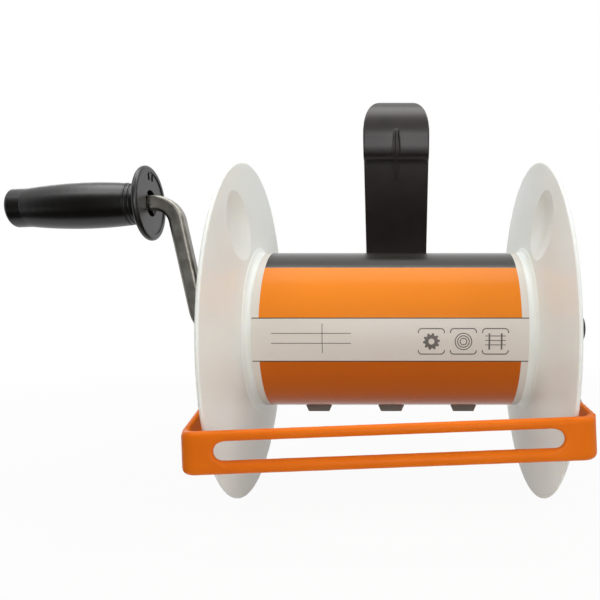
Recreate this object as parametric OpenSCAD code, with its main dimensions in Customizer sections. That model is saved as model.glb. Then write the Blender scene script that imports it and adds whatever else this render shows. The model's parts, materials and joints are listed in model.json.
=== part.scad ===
// Geared electric fence reel: a spool in a side frame, a crank with a three to one gear set,
// a slotted wire guide in front and a carrying hook behind.
// Origin at the centre of the hook's round, X along the axle with the crank at -X, Y to the back, Z up.

/* [Spool] */
// Diameter over the flange rims
flange_d = 270; // [250:1:300]
// Wall of the flanges
flange_t = 2.6; // [2:0.1:5]
// Distance between the two rims, at the middle of their edges
rim_span = 235; // [220:0.5:260]
// How far each flange's inner face leans out from drum to rim
flange_dish = 9; // [6:0.5:16]
// Thickness of the rounded rim
rim_bead_d = 2.8; // [2.2:0.1:5]
// Outside diameter of the drum
drum_d = 123; // [118:1:130]
// Wall of the drum
drum_wall = 3; // [2:0.1:4]
// Fillet between drum and flange
root_fillet = 5.3; // [3:0.1:9]
// How far the hub's web lies inside the flange's root
web_recess = 15.8; // [14:0.1:20]
// Thickness of the hub's web
web_t = 3.5; // [2.5:0.1:5]
// Outside diameter of the hub
hub_d = 30; // [28:0.5:40]
// Length of the hub
hub_len = 17; // [12:0.5:24]
// Thickness of the ribs on the open web
web_rib_t = 3; // [2:0.5:5]
// Length of the spigot that joins the two halves
spigot_len = 12; // [8:0.5:18]
// Wall of the spigot
spigot_wall = 3; // [2:0.1:4]
// Diameter of the screws through the spigot
joint_screw_d = 3.6; // [3:0.1:4.5]
// Distance of the scooped recess from the axle
recess_r = 96.6; // [94:0.1:100]
// Angle of the scooped recess, from straight up towards the front
recess_angle = 36; // [0:1:90]
// Depth of the scooped recess
recess_depth = 6; // [3:0.5:7]
// Radius of the sphere that scoops the recess
recess_ball_r = 60; // [50:1:66]

/* [Card] */
// Thickness of the card sleeve
card_t = 1.2; // [0.8:0.1:2]
// Bare drum between the card sleeve and the flange's fillet
card_margin = 0.3; // [0.1:0.1:10]
// Width of a closing tab
tab_w = 23; // [16:1:30]
// How far a closing tab stands off the sleeve
tab_h = 6; // [3:0.5:8]
// Spacing of the closing tabs
tab_pitch = 60; // [40:1:70]

/* [Axle and bushes] */
// Axle diameter
axle_d = 14; // [12:0.5:15]
// Wall of the bushes in the spool hubs
bush_wall = 3; // [2:0.1:4]
// Thickness of the bush flanges
bush_flange_t = 2; // [1.5:0.1:3]
// Width of the bush flanges beyond the bush
bush_flange_w = 3; // [2:0.5:5]
// Radial clearance where a piece runs on another
running_gap = 0.05; // [0.03:0.01:0.1]
// Radial clearance where a piece is pressed or screwed in place
seat_gap = 0.05; // [0.02:0.01:0.1]
// Thickness of the washer under the axle nut
washer_t = 2; // [1:0.5:3]
// Diameter of the washer under the axle nut
washer_d = 30; // [26:1:36]
// Base diameter of the axle nut
nut_d = 34; // [30:0.5:38]
// Diameter of the axle nut at its tip
nut_tip_d = 24; // [18:0.5:28]
// Length of the axle nut
nut_len = 22; // [18:0.5:34]

/* [Gears] */
// Face width of the planet gears
gear_face = 12.5; // [10:0.5:14]
// Play between meshed teeth, along the pitch circle
backlash = 0.36; // [0.25:0.01:0.5]
// Wall of the ring gear behind its teeth
ring_rim = 4.3; // [3.5:0.1:5]
// Wall of the gear case
case_wall = 4.5; // [4:0.1:6]
// Radial space between gear case and drum
case_gap = 3; // [2:0.1:4]
// Floor of the gear case
case_floor_t = 3; // [2:0.1:4]
// Thickness of the gear case's fixing flange
case_flange_t = 3.5; // [3:0.1:5]
// Width of the gear case's fixing flange beyond the case
case_flange_w = 10.5; // [9:0.5:13]
// Key that stops the ring gear turning: width
key_w = 8; // [5:0.5:12]
// Key that stops the ring gear turning: depth
key_h = 2; // [1:0.1:2.5]
// Thickness of the planet carrier
carrier_t = 5; // [4:0.1:6]
// Diameter of the carrier's hub
carrier_hub_d = 24; // [22:0.5:26]
// Diameter of the planet pins
planet_pin_d = 8; // [6:0.5:9]
// Thickness of the clips on the planet pins
clip_t = 0.8; // [0.6:0.1:1]
// Thickness of the sun gear's flange
sun_flange_t = 4; // [3:0.1:5]
// Diameter of the sun gear's flange
sun_flange_d = 62; // [60:0.5:66]
// Diameter of the sun gear's screws
sun_screw_d = 3; // [2.5:0.1:3.5]
// Diameter of the gear case's screws
case_screw_d = 4.2; // [3.5:0.1:5]

/* [Frame] */
// Thickness of the side frame plates
plate_t = 5.4; // [5:0.1:8]
// Half height of the side frame at the axle, right side
right_hub_r = 40; // [34:1:46]
// Half height of the side frame at the crossbar
frame_end_h = 27; // [24:1:32]
// Diameter of the boss that carries the axle
axle_boss_d = 40; // [34:1:46]
// How far the bush boss stands off the left plate
bush_boss_h = 1.2; // [1:0.1:5]
// Outside diameter of the crank bush
crank_bush_d = 30; // [28:0.5:34]
// Space between the flanges and the crossbar
bar_gap = 6; // [4:0.5:16]
// Width of the raised edge round the side frames
frame_rim = 4; // [3:0.1:6]
// Depth of the sunk panels in the side frames
panel_sink = 2; // [1:0.1:3]
// Thickness of the ribs in the sunk panels
frame_rib_t = 3; // [2:0.1:4]
// Depth of the crossbar
bar_depth = 14; // [12:0.5:20]
// Height of the crossbar
bar_h = 40; // [34:1:46]
// Wall of the crossbar
bar_wall = 4; // [3:0.1:5]
// Length of the solid ends of the crossbar
bar_end = 22; // [16:1:30]
// Diameter of the crossbar and hook bolts
bolt_d = 6; // [5:0.5:7]
// Spacing of the crossbar bolts
bar_bolt_pitch = 22; // [18:0.5:24]

/* [Hook] */
// Width of the hook strap
hook_w = 63; // [50:1:70]
// Thickness of the hook strap
hook_t = 4; // [3:0.5:5]
// Outside diameter of the hook's round
hook_d = 66; // [56:1:76]
// Height of the hook's round above the axle
hook_rise = 187.5; // [180:0.5:210]
// Distance of the hook's round behind the axle
hook_back = 100; // [90:1:110]
// Distance of the hook's middle to the right of the spool's middle
hook_side = 4; // [0:0.5:8]
// Angle on the round where the strap kinks, below the front
hook_kink = 63; // [45:1:70]
// Angle on the round where the tip ends, below the back
hook_tip = 15; // [0:1:25]
// Width of the hook's tip
hook_tip_w = 28; // [24:1:40]
// Fullness of the hook's shoulders, seen from the front: 2 is an ellipse
shoulder_full = 2.5; // [2:0.1:4]
// Height under the middle of the round where the shoulders start
shoulder_drop = 9; // [0:1:14]
// Width of the gusset dart in the kink
dart_w = 9; // [5:0.5:14]
// Length of the gusset dart below the kink
dart_len = 20; // [12:1:30]
// Spacing of the hook bolts across the strap
hook_bolt_x = 36; // [28:1:42]
// Spacing of the hook bolts up the strap
hook_bolt_z = 20; // [16:1:24]

/* [Crank] */
// Width across the flats of the crank bar
bar_s = 12.5; // [11:0.1:13]
// Radius on the edges of the crank bar
bar_edge_r = 2.6; // [1.5:0.1:3.5]
// Height of the grip above the axle
crank_throw = 105; // [90:1:125]
// Outward lean of the crank arm
arm_lean = 12.7; // [5:0.1:18]
// Droop of the grip
grip_droop = 2; // [0:0.1:4]
// Radius of the bends, at the middle of the bar
bend_r = 19; // [16:0.5:20]
// How far the arm's foot stands outside the carrier's hub
crank_stand = 16; // [15.6:0.1:22]
// Depth of the socket in the carrier's hub
socket_depth = 17; // [14:0.5:18]
// How far the carrier's hub stands out of its bush
hub_proud = 5; // [4:0.1:8]
// Diameter of the spring pin in the hub
spring_pin_d = 4; // [3:0.1:5]

/* [Grip] */
// Distance of the knuckle guard from the crank's upper corner
grip_start = 18; // [17:0.5:24]
// Length of the grip, guard included
grip_len = 114.5; // [100:0.5:140]
// Diameter of the knuckle guard
guard_d = 62; // [54:1:72]
// Thickness of the knuckle guard at its rim
guard_t = 5; // [4:0.1:8]
// Diameter of the neck beside the guard
neck_d = 34.6; // [30:0.2:38]
// Length of the neck
neck_len = 13; // [8:0.5:18]
// Largest diameter of the grip
belly_d = 37.8; // [34:0.2:44]
// Diameter of the grip at its end
tail_d = 31.6; // [28:0.2:36]
// Width of the end cap
cap_len = 13; // [6:0.5:14]
// Diameter of the pocket in the grip's end
pocket_d = 24; // [20:0.5:26]
// Depth of the pocket in the grip's end
pocket_depth = 22; // [18:0.5:28]
// Diameter of the spindle in the grip
spindle_d = 12; // [10:0.1:12.4]
// Thickness of the clip that keeps the grip on
grip_clip_t = 1.6; // [1:0.1:3]

/* [Wire guide] */
// Distance of the guide's front before the flanges, at the height of its slot
guide_clear = 16.4; // [14:0.1:30]
// Depth of the guide's slot below the axle
guide_drop = 67.1; // [55:0.1:90]
// Height of the guide's slot
slot_h = 12; // [10:0.5:16]
// Diameter of the guide's upper bar
top_bar_d = 7; // [6:0.5:9]
// Diameter of the guide's lower bar
low_bar_d = 8.5; // [6:0.5:10]
// Wall of the guide's end panels
guide_wall = 4.5; // [4:0.5:6]
// Radius of the guide's lower corners, seen from the front
guide_foot_r = 7; // [4:0.5:8]
// Width of the solid panel at each end of the slot
guide_panel = 21.7; // [16:0.1:28]
// Radius of the guide's front corners
guide_corner_r = 10.5; // [10.5:0.5:14]
// Sideways lean of the front loop
guide_lean = 2.2; // [0:0.1:3]
// Thickness of the guide's arms
guide_arm_t = 4; // [3:0.1:5]
// Space between flange rim and guide arm
guide_gap = 7.1; // [4:0.1:9]
// Height of the rib on the inside of the arms
guide_rib_h = 1.2; // [0.6:0.1:1.5]
// Distance of the arm's fixing in front of the axle
arm_fix_front = 62; // [60:0.5:72]
// Depth of the arm's fixing below the axle
arm_fix_drop = 52; // [46:0.5:56]
// Half height of the arm at its fixing
arm_fix_r = 10; // [9:0.5:11]
// Spacing of the screws in an arm's fixing
arm_screw_pitch = 12; // [10:0.5:13]
// Diameter of the guide's screws
guide_screw_d = 4.8; // [4:0.1:5.5]

/* [Hidden] */
$fn = 64;

// Tooth counts: the ring stands still, so the sun turns 1 + 60 / 30 times as fast as the carrier
sun_teeth = 30;
planet_teeth = 15;
ring_teeth = sun_teeth + 2 * planet_teeth;
planet_count = 3;
pressure_angle = 20;
// Stub teeth, in modules
tooth_top = 0.8;
tooth_foot = 1.1;
flank_steps = 4;

// Joined solids run this far into each other, straight sides stay a hair inside rounds,
// and cuts run past faces
overlap = 0.5;
hair = 0.015;
cut = 1;
axle_r = axle_d / 2;
drum_r = drum_d / 2;
drum_ir = drum_r - drum_wall;
bead_r = rim_bead_d / 2;
flange_r = flange_d / 2;
rim_r = flange_r - bead_r;
rim_a = rim_span / 2;
root_a = rim_a - bead_r - flange_dish;
flange_slope = flange_dish / (rim_r - drum_r);
function face_a(r) = root_a + flange_slope * (r - drum_r);
web_out = root_a - web_recess;
web_in = web_out - web_t;
hub_r = hub_d / 2;
hub_in = web_out - hub_len;
card_w = 2 * (root_a - root_fillet - card_margin);
bush_ir = axle_r + running_gap;
bush_r = bush_ir + bush_wall;

// Frame, from the rim outwards
arm_in = rim_a + bead_r + guide_gap;
plate_in = arm_in + guide_arm_t;
plate_out = plate_in + plate_t;
boss_in = web_out + bush_flange_t + overlap;
nut_in = plate_out + washer_t;
axle_right = nut_in + nut_len / 2;
bar_back = flange_r + bar_gap + bar_depth / 2;

// Gear set, from the web outwards
stack_gap = 0.3;
turning_room = 2;
sun_flange_out = web_out + sun_flange_t;
floor_in = sun_flange_out + turning_room;
floor_out = floor_in + case_floor_t;
clip_in = floor_out + 2 * stack_gap;
planet_in = clip_in + clip_t + stack_gap;
planet_out = planet_in + gear_face;
carrier_in = planet_out + stack_gap;
carrier_out = carrier_in + carrier_t;
lid_in = carrier_out + stack_gap + bush_flange_t;
bush_out = plate_out + bush_boss_h;
hub_out = bush_out + hub_proud;
socket_in = hub_out - socket_depth;
pilot_depth = carrier_t + turning_room / 2;
case_r = drum_ir - case_gap;
ring_r = case_r - case_wall - seat_gap;
gear_module = (ring_r - ring_rim) / (ring_teeth / 2 + tooth_foot);
sun_r = gear_module * sun_teeth / 2;
planet_r = gear_module * planet_teeth / 2;
ring_pitch_r = gear_module * ring_teeth / 2;
orbit_r = sun_r + planet_r;
floor_hole_r = sun_r + gear_module * tooth_top + turning_room;
carrier_room = 1.5;
carrier_r = ring_pitch_r - gear_module * tooth_top - carrier_room;
carrier_hub_r = carrier_hub_d / 2;
case_flange_r = case_r + case_flange_w;
case_screw_r = case_r + case_flange_w / 2;

// Crank, drawn with x outwards along the axle and y up
crank_out = hub_out + crank_stand;
arm_angle = 90 - arm_lean;
foot = [crank_out, 0];
corner = [crank_out + crank_throw * tan(arm_lean), crank_throw];
grip_end = grip_start + grip_len;
clip_at = grip_end - pocket_depth + stack_gap;
spindle_nose = 4;
spindle_end = clip_at + grip_clip_t + spindle_nose;
spindle_r = spindle_d / 2;
grip_bore_r = spindle_r + running_gap;

// Guide
guide_half = plate_in;
guide_end_fall = guide_half * sin(guide_lean);
guide_top = slot_h / 2 + top_bar_d;
guide_low = slot_h / 2 + low_bar_d;
slot_len = 2 * (guide_half - guide_panel);
guide_front = sqrt(flange_r * flange_r - guide_drop * guide_drop) + guide_clear;
lug_wall = 3;
arm_fix = [-arm_fix_drop, -arm_fix_front];

// Hook, drawn with x to the back and y up from the middle of its round
hook_r = hook_d / 2;
bar_face = bar_back + bar_depth / 2 - hook_back;
leg_x = bar_face + hook_t / 2;
leg_rise = 2;
leg_top = bar_h / 2 + leg_rise - hook_rise;
leg_bottom = -bar_h / 2 - hook_rise;
function dir(angle) = [cos(angle), sin(angle)];
kink = (hook_r - hook_t / 2) * dir(180 + hook_kink);
knee = [leg_x, leg_top];
stem_dir = (kink - knee) / norm(kink - knee);
stem_side = [-stem_dir.y, stem_dir.x];

white_pp = "#EDE8DF";
orange_pp = "#E8761E";
black_pp = "#26241F";
grey_steel = "#8C8A86";
card_orange = "#E8923A";
gear_nylon = "#D8D2C4";
bronze = "#A8814A";

// Places: the axle's middle, the left and right sides (x up, y back, z outwards) and the crank's plane
module at_axle() {
    translate([-hook_side, -hook_back, -hook_rise]) children();
}
module left() {
    at_axle() rotate([0, -90, 0]) children();
}
module right() {
    at_axle() mirror([1, 0, 0]) rotate([0, -90, 0]) children();
}
module both() {
    left() children();
    right() children();
}
module crank_plane() {
    at_axle() mirror([1, 0, 0]) rotate([90, 0, 0]) children();
}
module on_spindle() {
    crank_plane() translate(corner) rotate(-grip_droop) rotate([0, 90, 0]) children();
}
module across(width) {
    rotate([90, 0, 90]) linear_extrude(width, center = true) children();
}

// Flat shapes
module ring2d(r_out, r_in) {
    difference() {
        circle(r_out);
        circle(r_in);
    }
}
module tube(r_out, r_in, from, to) {
    translate([0, 0, from]) linear_extrude(to - from) ring2d(r_out, r_in);
}
module rod(r, from, to) {
    translate([0, 0, from]) cylinder(r = r, h = to - from);
}
// Two round ends joined by straight sides, which stay a hair inside the tangents
module link(p, rp, q, rq) {
    turn = atan2(q.y - p.y, q.x - p.x);
    open = acos((rp - rq) / norm(q - p));
    translate(p) circle(rp);
    translate(q) circle(rq);
    polygon([
        p + (rp - hair) * dir(turn + open), q + (rq - hair) * dir(turn + open),
        q + (rq - hair) * dir(turn - open), p + (rp - hair) * dir(turn - open)
    ]);
}
module rounded_square(s, r) {
    square([s, s - 2 * r], center = true);
    square([s - 2 * r, s], center = true);
    for (x = [-1, 1], y = [-1, 1]) translate([x, y] * (s / 2 - r)) circle(r);
}
// Pan head screw along z, its head starting at z = 0 and its shank running down
module pan_screw(d, length) {
    crown_r = 1.32 * d;
    crown_sink = 0.7 * d;
    rod(d / 2, -length, overlap);
    rotate_extrude() intersection() {
        translate([0, -crown_sink]) circle(crown_r);
        square([2 * d, d]);
    }
}
module hex_bolt(d, length) {
    head_h = 0.65 * d;
    rod(d / 2, -length, overlap);
    cylinder(r = d, h = head_h, $fn = 6);
}

// Involute teeth. Angles in degrees; play is taken off each flank, and a negative play opens the tooth
function involute(angle) = tan(angle) * 180 / PI - angle;
function half_tooth(r, teeth, play) =
    let (pitch_r = gear_module * teeth / 2)
    90 / teeth - play / 4 / pitch_r * 180 / PI
    + involute(pressure_angle) - involute(acos(min(1, pitch_r * cos(pressure_angle) / r)));
function gear_outline(teeth, foot_r, tip_r, play) =
    let (
        base_r = max(foot_r, gear_module * teeth / 2 * cos(pressure_angle)),
        radii = [for (i = [0:flank_steps]) base_r + (tip_r - base_r) * i / flank_steps],
        flank = [for (r = radii) [r, half_tooth(r, teeth, play)]],
        side = foot_r < base_r ? concat([[foot_r, flank[0][1]]], flank) : flank,
        last = len(side) - 1
    )
    [for (t = [0:teeth - 1]) each concat(
        [for (i = [0:last]) side[i][0] * dir(360 * t / teeth - side[i][1])],
        [for (i = [last:-1:0]) side[i][0] * dir(360 * t / teeth + side[i][1])]
    )];
module gear2d(teeth) {
    pitch_r = gear_module * teeth / 2;
    foot_r = pitch_r - tooth_foot * gear_module;
    tip_r = pitch_r + tooth_top * gear_module;
    polygon(gear_outline(teeth, foot_r, tip_r, backlash));
}
module at_planet(i) {
    rotate(360 * i / planet_count) translate([orbit_r, 0, 0]) children();
}

// Frame
module side_outline(hub_r, inset) {
    intersection() {
        union() {
            circle(hub_r - inset);
            link([0, 0], right_hub_r - hair - inset, [0, bar_back], frame_end_h - inset);
            link([0, 0], right_hub_r - hair - inset, arm_fix, arm_fix_r + lug_wall - inset);
        }
        translate([-flange_r, -flange_r])
            square([flange_d, flange_r + bar_back + bar_depth / 2 + hook_t - inset]);
    }
}
// Plate with a raised edge, a boss in the middle, pads under the screws and a rib along each arm
module side_plate(hub_r, boss_r) {
    pad_r = 1.6 * guide_screw_d;
    across_pads = [0, arm_screw_pitch / 2];
    translate([0, 0, plate_in]) linear_extrude(plate_t - panel_sink) side_outline(hub_r, 0);
    translate([0, 0, plate_out - panel_sink - overlap]) linear_extrude(panel_sink + overlap) {
        difference() {
            side_outline(hub_r, 0);
            side_outline(hub_r, frame_rim);
        }
        circle(boss_r);
        translate([0, bar_back]) square([bar_h, bar_depth], center = true);
        link(arm_fix - across_pads, pad_r, arm_fix + across_pads, pad_r);
        translate([-frame_rib_t / 2, 0]) square([frame_rib_t, bar_back]);
        rotate(atan2(arm_fix.y, arm_fix.x)) translate([0, -frame_rib_t / 2])
            square([norm(arm_fix), frame_rib_t]);
        children();
    }
}
bar_bolt_reach = bar_end - bar_wall / 2;
module bar_bolt_places() {
    for (s = [-1, 1]) translate([s * bar_bolt_pitch / 2, bar_back, 0]) children();
}
module arm_screw_places() {
    for (s = [-1, 1]) translate(arm_fix + [0, s * arm_screw_pitch / 2]) children();
}
module case_screw_places() {
    for (i = [0:5]) rotate(60 * i + 30) translate([case_screw_r, 0, 0]) children();
}
module plate_holes() {
    bar_bolt_places() rod(bolt_d / 2 + seat_gap, plate_in - cut, plate_out + cut);
    arm_screw_places() rod(guide_screw_d / 2 + seat_gap, plate_in - cut, plate_out + cut);
}
module left_side_frame() {
    bush_boss_wall = 6;
    lid_boss_r = crank_bush_d / 2 + bush_boss_wall + frame_rim;
    color(black_pp) left() difference() {
        union() {
            side_plate(case_flange_r, lid_boss_r) {
                ring2d(case_flange_r, case_r);
                for (i = [0:5]) rotate(60 * i + 30) translate([0, -frame_rib_t / 2])
                    square([case_r + overlap, frame_rib_t]);
            }
            rod(case_flange_r, lid_in, plate_in + overlap);
            rod(crank_bush_d / 2 + bush_boss_wall, plate_out - overlap, bush_out);
        }
        plate_holes();
        case_screw_places() rod(case_screw_d / 2 + seat_gap, lid_in - cut, plate_out + cut);
        rod(crank_bush_d / 2 + seat_gap, lid_in - cut, bush_out + cut);
    }
}
module right_side_frame() {
    flare = right_hub_r - axle_boss_d / 2;
    color(black_pp) right() difference() {
        union() {
            side_plate(right_hub_r, axle_boss_d / 2);
            rod(axle_boss_d / 2, boss_in, plate_in + overlap);
            translate([0, 0, plate_in - flare])
                cylinder(r1 = axle_boss_d / 2 - cut, r2 = right_hub_r - cut, h = flare);
        }
        plate_holes();
        rod(axle_r + seat_gap, boss_in - cut, plate_out + cut);
    }
}
module rear_crossbar() {
    color(black_pp) at_axle() translate([0, bar_back, 0]) difference() {
        cube([2 * plate_in, bar_depth, bar_h], center = true);
        for (s = [-1, 1]) {
            from = hook_w / 2 + bar_wall / 2 + s * hook_side;
            to = plate_in - bar_end;
            translate([s * (from + to) / 2, -bar_wall, 0])
                cube([to - from, bar_depth, bar_h - 2 * bar_wall], center = true);
        }
        translate([hook_side, -bar_wall, 0])
            cube([hook_w - bar_wall, bar_depth, bar_h - 2 * bar_wall], center = true);
        for (x = [-1, 1], z = [-1, 1])
            translate([hook_side + x * hook_bolt_x / 2, 0, z * hook_bolt_z / 2]) rotate([90, 0, 0])
                cylinder(r = bolt_d / 2 + seat_gap, h = bar_depth + 2 * cut, center = true);
        for (x = [-1, 1], z = [-1, 1])
            translate([x * plate_in, 0, z * bar_bolt_pitch / 2]) rotate([0, 90, 0])
                cylinder(r = bolt_d / 2 + seat_gap, h = 2 * bar_bolt_reach, center = true);
    }
}
module crossbar_bolts() {
    color(grey_steel) both() bar_bolt_places() translate([0, 0, plate_out])
        hex_bolt(bolt_d, plate_t + bar_bolt_reach - cut);
}

// Hook
module hook_ring(from, to) {
    reach = 2 * hook_r;
    steps = 4;
    intersection() {
        ring2d(hook_r, hook_r - hook_t);
        polygon(concat([[0, 0]], [for (i = [0:steps]) reach * dir(from + (to - from) * i / steps)]));
    }
}
// Front view of the round: full width at the kink, arched over the shoulders
module shoulder_outline() {
    steps = 36;
    crown = 2.5;
    rise = hook_r + shoulder_drop + crown;
    bow = 2 / shoulder_full;
    arch = [for (i = [0:steps])
        let (c = cos(180 * i / steps), d = sin(180 * i / steps))
        [sign(c) * hook_w / 2 * pow(abs(c), bow), rise * pow(d, bow) - shoulder_drop]];
    polygon(concat(arch, [[-hook_w / 2, -hook_d], [hook_w / 2, -hook_d]]));
}
module tip_outline() {
    tip_low = -(hook_r * sin(hook_tip));
    translate([0, tip_low + hook_tip_w / 2]) circle(hook_tip_w / 2);
    translate([-hook_tip_w / 2, tip_low + hook_tip_w / 2]) square([hook_tip_w, hook_d]);
}
module from_front() {
    rotate([90, 0, 0]) linear_extrude(2 * hook_d, center = true) children();
}
// Ridge that bridges the kink, widest in the corner
module gusset_dart() {
    corner_out = hook_r * dir(180 + hook_kink);
    below = corner_out - dart_len * stem_dir;
    to_middle = norm(below);
    sink = 0.3;
    sunk_r = hook_r - sink;
    on_round = atan2(below.y, below.x) - acos(sunk_r / to_middle);
    above = sunk_r * dir(on_round);
    inside = corner_out * (1 - hook_t / 2 / hook_r);
    polyhedron(
        points = [
            [0, above.x, above.y], [0, below.x, below.y],
            [-dart_w / 2, inside.x, inside.y], [dart_w / 2, inside.x, inside.y]
        ],
        faces = [[0, 3, 1], [0, 1, 2], [0, 2, 3], [1, 3, 2]]
    );
}
module hook_bolt_places() {
    for (x = [-1, 1], z = [-1, 1])
        translate([x * hook_bolt_x / 2, bar_face, z * hook_bolt_z / 2 - hook_rise]) rotate([-90, 0, 0])
            children();
}
module carry_hook() {
    lap = 0.2;
    color(black_pp) difference() {
        union() {
            intersection() {
                across(hook_w) hook_ring(90, 180 + hook_kink);
                from_front() shoulder_outline();
            }
            intersection() {
                across(hook_w) hook_ring(90 + lap, -hook_tip);
                from_front() tip_outline();
            }
            across(hook_w) {
                polygon([
                    kink + stem_side * hook_t / 2, knee + stem_side * hook_t / 2,
                    knee - stem_side * hook_t / 2, kink - stem_side * hook_t / 2
                ]);
                translate(kink) circle(hook_t / 2 - hair);
                translate(knee) circle(hook_t / 2 - hair);
                translate([leg_x - hook_t / 2, leg_bottom]) square([hook_t, leg_top - leg_bottom]);
            }
            gusset_dart();
        }
        hook_bolt_places() rod(bolt_d / 2 + seat_gap, -cut, hook_t + cut);
    }
}
module hook_bolts() {
    color(grey_steel) hook_bolt_places() translate([0, 0, hook_t])
        hex_bolt(bolt_d, hook_t + bar_wall + bolt_d);
}
module hook_nuts() {
    nut_h = 0.8 * bolt_d;
    color(grey_steel) hook_bolt_places() translate([0, 0, -bar_wall - nut_h]) difference() {
        cylinder(r = bolt_d, h = nut_h, $fn = 6);
        rod(bolt_d / 2 + seat_gap, -cut, nut_h + cut);
    }
}

// Gear set
module gear_case() {
    color(black_pp) left() difference() {
        union() {
            tube(case_r, floor_hole_r, floor_in, floor_out);
            tube(case_r, ring_r + seat_gap, floor_out - overlap, lid_in);
            tube(case_flange_r, ring_r + seat_gap, lid_in - case_flange_t, lid_in);
        }
        ring_keys(seat_gap, lid_in + cut);
        case_screw_places() rod(case_screw_d / 2 + seat_gap, floor_out, lid_in + cut);
    }
}
module case_screws() {
    color(grey_steel) left() case_screw_places() translate([0, 0, plate_out])
        pan_screw(case_screw_d, plate_out - lid_in + case_flange_t);
}
module ring_keys(gap, to) {
    for (i = [0:planet_count - 1]) rotate(360 * i / planet_count + 60)
        translate([ring_r - cut, -key_w / 2 - gap, floor_out])
            cube([cut + key_h + gap, key_w + 2 * gap, to - floor_out]);
}
module ring_gear() {
    tip_r = ring_pitch_r - tooth_top * gear_module;
    foot_r = ring_pitch_r + tooth_foot * gear_module;
    color(gear_nylon) left() {
        translate([0, 0, floor_out]) linear_extrude(carrier_out - overlap - floor_out) difference() {
            circle(ring_r);
            polygon(gear_outline(ring_teeth, tip_r, foot_r, -backlash));
        }
        ring_keys(0, carrier_out - overlap);
    }
}
module crank_bush() {
    color(bronze) left() {
        tube(crank_bush_d / 2, carrier_hub_r + running_gap, lid_in - overlap, bush_out);
        tube(crank_bush_d / 2 + bush_flange_w, carrier_hub_r + running_gap, lid_in - bush_flange_t, lid_in);
    }
}
module sun_screw_places() {
    for (i = [0:2]) rotate(120 * i + 60) translate([(sun_r + gear_module + sun_flange_d / 2) / 2, 0, 0])
        children();
}
module sun_gear() {
    color(gear_nylon) left() difference() {
        union() {
            rod(sun_flange_d / 2, web_out, sun_flange_out);
            translate([0, 0, sun_flange_out - overlap])
                linear_extrude(carrier_in - stack_gap - sun_flange_out + overlap) gear2d(sun_teeth);
        }
        rod(axle_r + 2 * stack_gap, web_out - cut, carrier_in);
        sun_screw_places() sun_screw(seat_gap);
    }
}
// Countersunk screw, flush with the sun gear's flange
module sun_screw(gap) {
    r = sun_screw_d / 2;
    rod(r + gap, web_in - cut, sun_flange_out - r);
    translate([0, 0, sun_flange_out - r]) cylinder(r1 = r + gap, r2 = 2 * r + gap, h = r);
}
module sun_screws() {
    color(grey_steel) left() sun_screw_places() sun_screw(0);
}
module planet_gear(i) {
    color(gear_nylon) left() at_planet(i) translate([0, 0, planet_in])
        linear_extrude(gear_face) difference() {
        gear2d(planet_teeth);
        circle(planet_pin_d / 2 + running_gap);
    }
}
module planet_carrier() {
    window_r = (carrier_r - carrier_hub_r) / 4;
    color(grey_steel) left() difference() {
        union() {
            rod(carrier_r, carrier_in, carrier_out);
            rod(carrier_hub_r, carrier_out - overlap, hub_out);
        }
        rod(axle_r + running_gap, carrier_in - cut, carrier_in + pilot_depth);
        translate([0, 0, socket_in]) linear_extrude(socket_depth + cut)
            square(bar_s + 2 * seat_gap, center = true);
        for (i = [0:planet_count - 1]) at_planet(i)
            rod(planet_pin_d / 2 + seat_gap, carrier_in - cut, carrier_out + cut);
        for (i = [0:planet_count - 1]) rotate(360 * (i + 0.5) / planet_count)
            translate([(carrier_hub_r + carrier_r) / 2, 0, 0])
                rod(window_r, carrier_in - cut, carrier_out + cut);
        crank_pin_shape(seat_gap, carrier_hub_r + cut);
    }
}
module planet_pins() {
    color(grey_steel) left() for (i = [0:planet_count - 1]) at_planet(i)
        rod(planet_pin_d / 2, clip_in - stack_gap, carrier_out);
}
module planet_clips() {
    clip_w = 2.2;
    color(grey_steel) left() for (i = [0:planet_count - 1]) at_planet(i)
        tube(planet_pin_d / 2 + clip_w, planet_pin_d / 2 + seat_gap, clip_in, clip_in + clip_t);
}

// Axle
module axle() {
    color(grey_steel) at_axle() rotate([0, 90, 0])
        rod(axle_r, -(carrier_in + pilot_depth - overlap), axle_right);
}
module axle_washer() {
    color(grey_steel) right() tube(washer_d / 2, axle_r + seat_gap, plate_out, nut_in);
}
module axle_nut() {
    tip_r = nut_tip_d / 2;
    edge = 4;
    flutes = 8;
    flute_r = 4;
    flute_out = 2.4;
    color(black_pp) right() difference() {
        translate([0, 0, nut_in]) rotate_extrude() {
            polygon([
                [0, 0], [nut_d / 2, 0], [nut_d / 2, edge], [tip_r, nut_len - edge], [0, nut_len - edge]
            ]);
            square([tip_r - edge, nut_len]);
            translate([tip_r - edge, nut_len - edge]) intersection() {
                circle(edge);
                square(edge);
            }
        }
        for (i = [0:flutes - 1]) rotate(360 * i / flutes) translate([nut_d / 2 + flute_out, 0, 0])
            rod(flute_r, nut_in + edge, nut_in + nut_len + cut);
        rod(axle_r + seat_gap, nut_in - cut, axle_right + overlap);
    }
}

// Wire guide: a slotted front between two round bars, which run on round the corners,
// and an arm at each end
// The guide's own place: x across, y behind its front face, z up from the middle of its slot
module at_guide() {
    at_axle() translate([0, -guide_front, -guide_drop]) rotate([0, -guide_lean, 0]) children();
}
guide_bars = [[top_bar_d / 2, guide_top - top_bar_d / 2], [low_bar_d / 2, low_bar_d / 2 - guide_low]];
wall_low = guide_bars[1].y;
wall_h = guide_bars[0].y - wall_low;
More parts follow.
